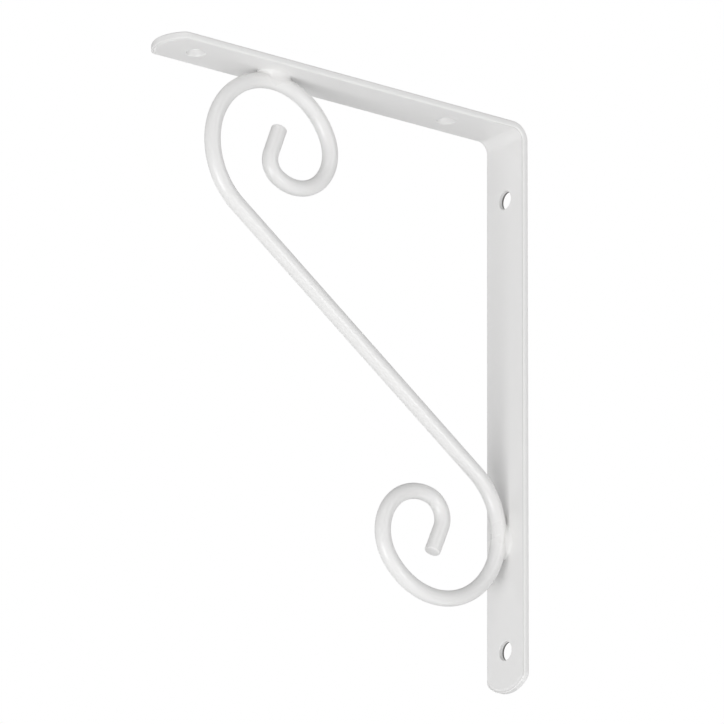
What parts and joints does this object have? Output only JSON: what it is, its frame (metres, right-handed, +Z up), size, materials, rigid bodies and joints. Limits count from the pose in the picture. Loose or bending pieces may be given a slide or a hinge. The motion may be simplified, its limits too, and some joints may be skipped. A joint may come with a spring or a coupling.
{
  "type": "decorative shelf bracket",
  "caption": "White coated steel shelf bracket: flat bar bent into an L with screw holes in both legs, braced by an S-scroll of round rod welded between them.",
  "frame": {"origin": "on the flat back face of the wall leg, on its centre line, midway between its two screw holes", "axes": "+Z up along the wall leg, +Y into the wall, -Y out along the shelf leg, X across the bar"},
  "size_m": [0.02, 0.15, 0.2],
  "materials": {
    "white_powder_coat": "satin white powder coat"
  },
  "bodies": {
    "root": {"mounting_bar": "white_powder_coat", "scroll_rod": "white_powder_coat", "upper_weld_right": "white_powder_coat", "upper_weld_left": "white_powder_coat", "lower_weld_right": "white_powder_coat", "lower_weld_left": "white_powder_coat"}
  },
  "joints": []
}
